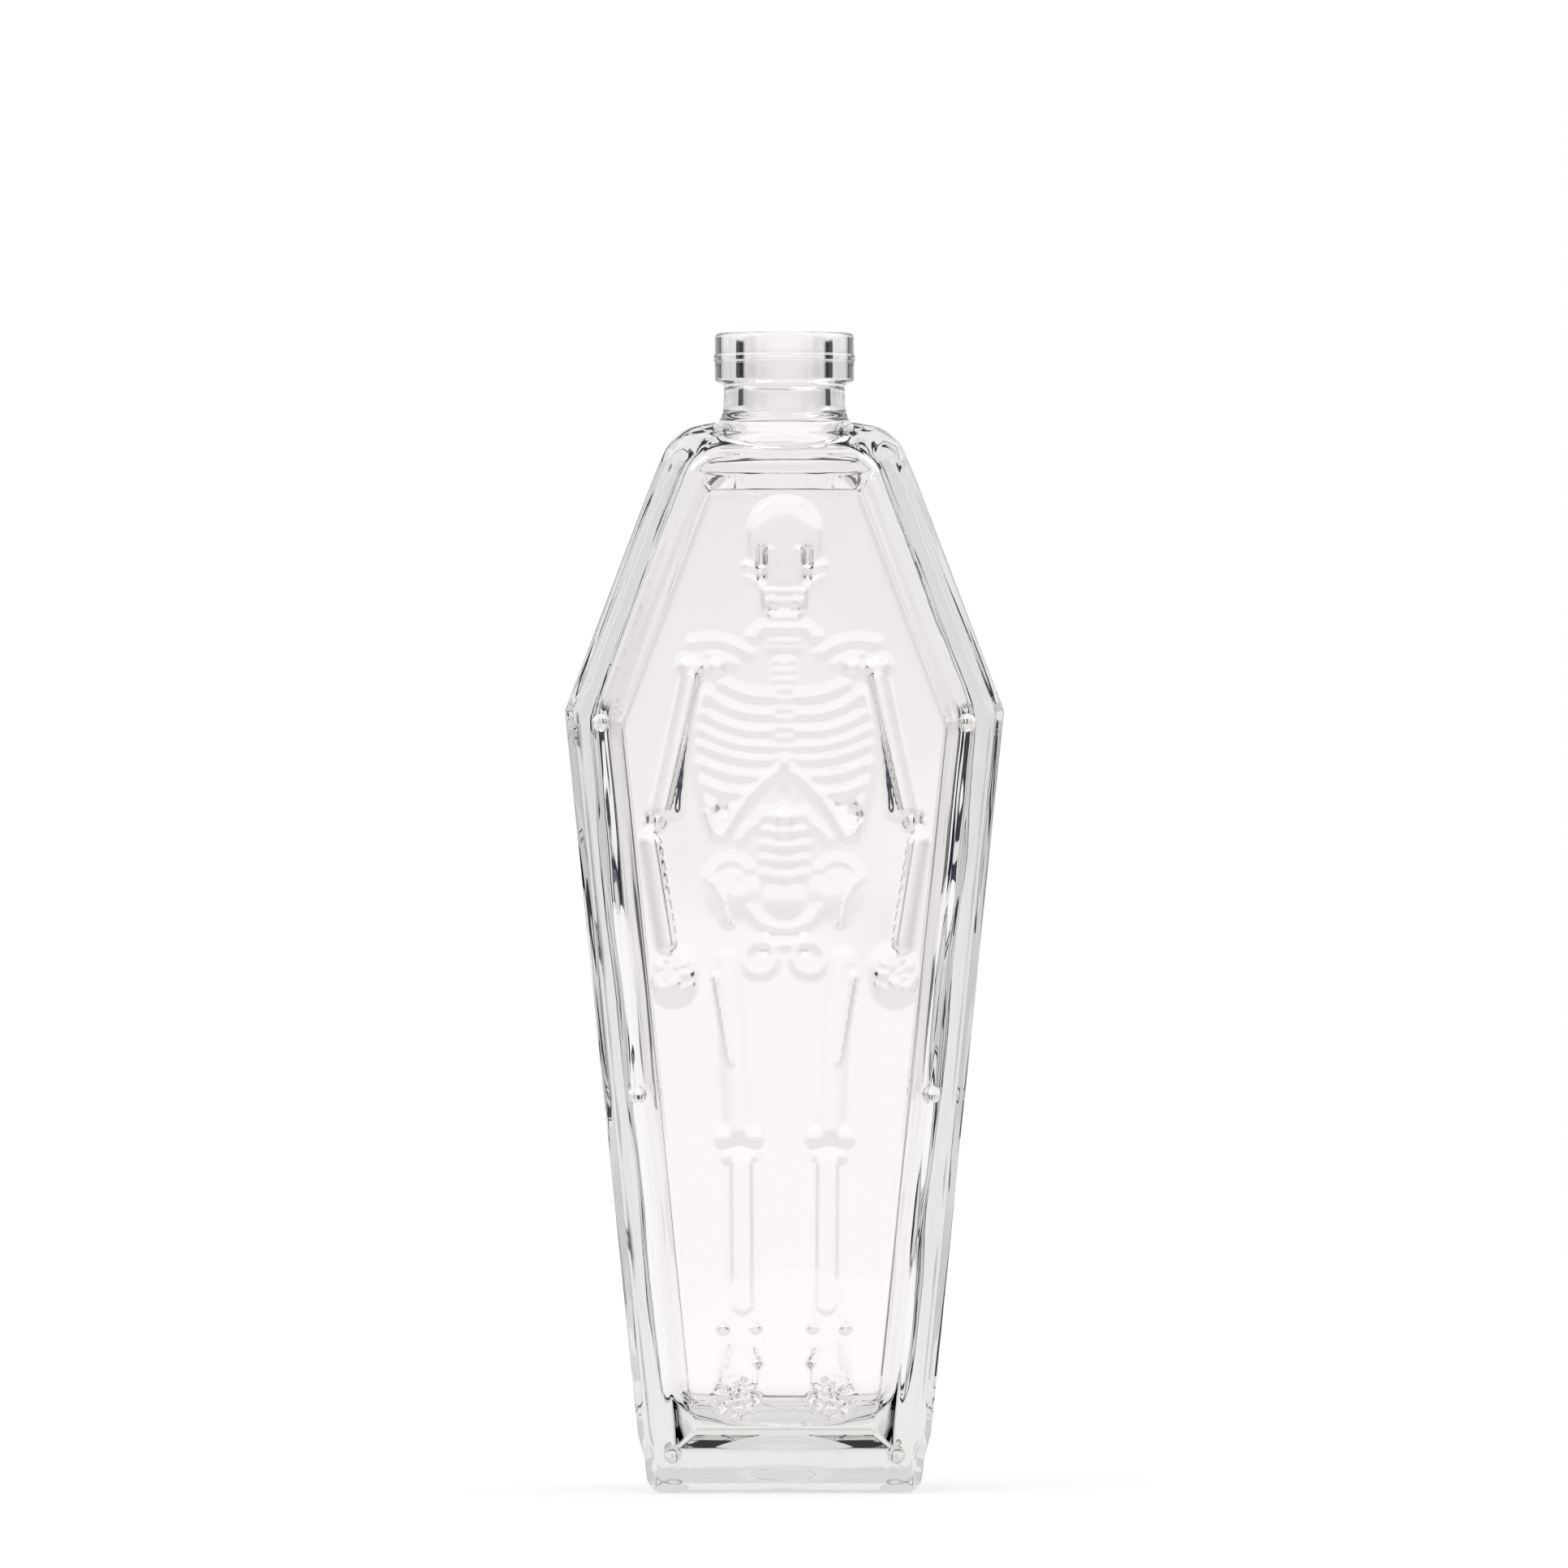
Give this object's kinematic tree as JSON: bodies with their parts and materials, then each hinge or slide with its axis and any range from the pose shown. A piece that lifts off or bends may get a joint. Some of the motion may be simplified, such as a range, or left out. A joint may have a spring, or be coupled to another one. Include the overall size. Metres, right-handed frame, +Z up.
{
  "type": "coffin-shaped glass bottle",
  "caption": "Clear moulded glass bottle shaped as a coffin, with a skeleton in relief in a bevelled recess, nail heads on the rails and a short ring-finish neck for a cork.",
  "frame": {"origin": "middle of the resting face, under the centre of the bottle's bounding box", "axes": "+Z up along the neck, -Y out of the front with the skeleton, +X to the right as seen from the front"},
  "size_m": [0.0968, 0.051, 0.256],
  "materials": {
    "flint_glass": "clear pressed flint glass, fire-polished, faint green-grey tint where thick"
  },
  "bodies": {
    "root": {"back_panel": "flint_glass", "back_rail_bottom": "flint_glass", "back_rail_lower_left": "flint_glass", "back_rail_lower_right": "flint_glass", "back_rail_top": "flint_glass", "back_rail_upper_left": "flint_glass", "back_rail_upper_right": "flint_glass", "back_studs": "flint_glass", "base": "flint_glass", "breastbone": "flint_glass", "collar_left": "flint_glass", "collar_right": "flint_glass", "foot_left": "flint_glass", "foot_right": "flint_glass", "forearm_left": "flint_glass", "forearm_right": "flint_glass", "front_panel": "flint_glass", "front_rail_bottom": "flint_glass", "front_rail_lower_left": "flint_glass", "front_rail_lower_right": "flint_glass", "front_rail_top": "flint_glass", "front_rail_upper_left": "flint_glass", "front_rail_upper_right": "flint_glass", "front_studs": "flint_glass", "hand_left": "flint_glass", "hand_right": "flint_glass", "jaw": "flint_glass", "knee_left": "flint_glass", "knee_right": "flint_glass", "loin_bones": "flint_glass", "mould_dot": "flint_glass", "mouth_ring": "flint_glass", "neck": "flint_glass", "neck_bones": "flint_glass", "pelvis": "flint_glass", "rib_cage_left": "flint_glass", "rib_cage_right": "flint_glass", "shin_left": "flint_glass", "shin_right": "flint_glass", "shoulder": "flint_glass", "side_wall_lower_left": "flint_glass", "side_wall_lower_right": "flint_glass", "side_wall_upper_left": "flint_glass", "side_wall_upper_right": "flint_glass", "skull": "flint_glass", "thigh_left": "flint_glass", "thigh_right": "flint_glass", "upper_arm_left": "flint_glass", "upper_arm_right": "flint_glass"}
  },
  "joints": []
}
